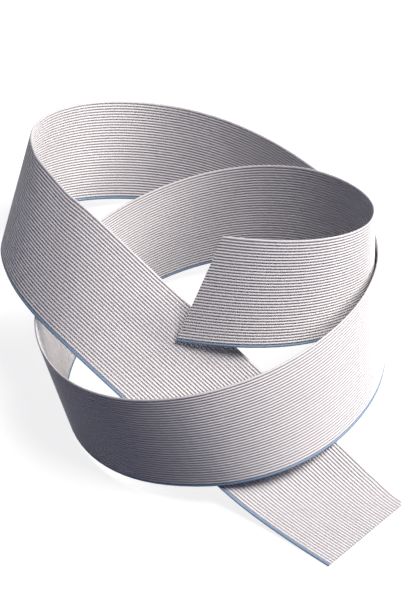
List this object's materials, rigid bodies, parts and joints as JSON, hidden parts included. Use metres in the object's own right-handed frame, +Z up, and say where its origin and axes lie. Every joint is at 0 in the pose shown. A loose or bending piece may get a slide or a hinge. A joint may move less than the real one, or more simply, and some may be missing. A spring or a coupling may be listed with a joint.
{
  "type": "ribbon cable",
  "caption": "Length of flat grey ribbon cable with a blue edge conductor, standing on edge in loose turns, its last stretch sloping down to lie on the surface; both ends cut plain",
  "frame": {"origin": "bottom centre of the whole cable's box, on the surface that it stands on", "axes": "+Z up; the longest extent runs along Y, with the lying end towards -Y and +X; the free end is up in the air near the middle and points towards -X"},
  "size_m": [0.1676, 0.239, 0.0931],
  "materials": {
    "grey_pvc": "semi-gloss flexible PVC",
    "blue_pvc": "semi-gloss flexible PVC"
  },
  "bodies": {
    "root": {"grey_jacket": "grey_pvc", "blue_edge_jacket": "blue_pvc"}
  },
  "joints": []
}
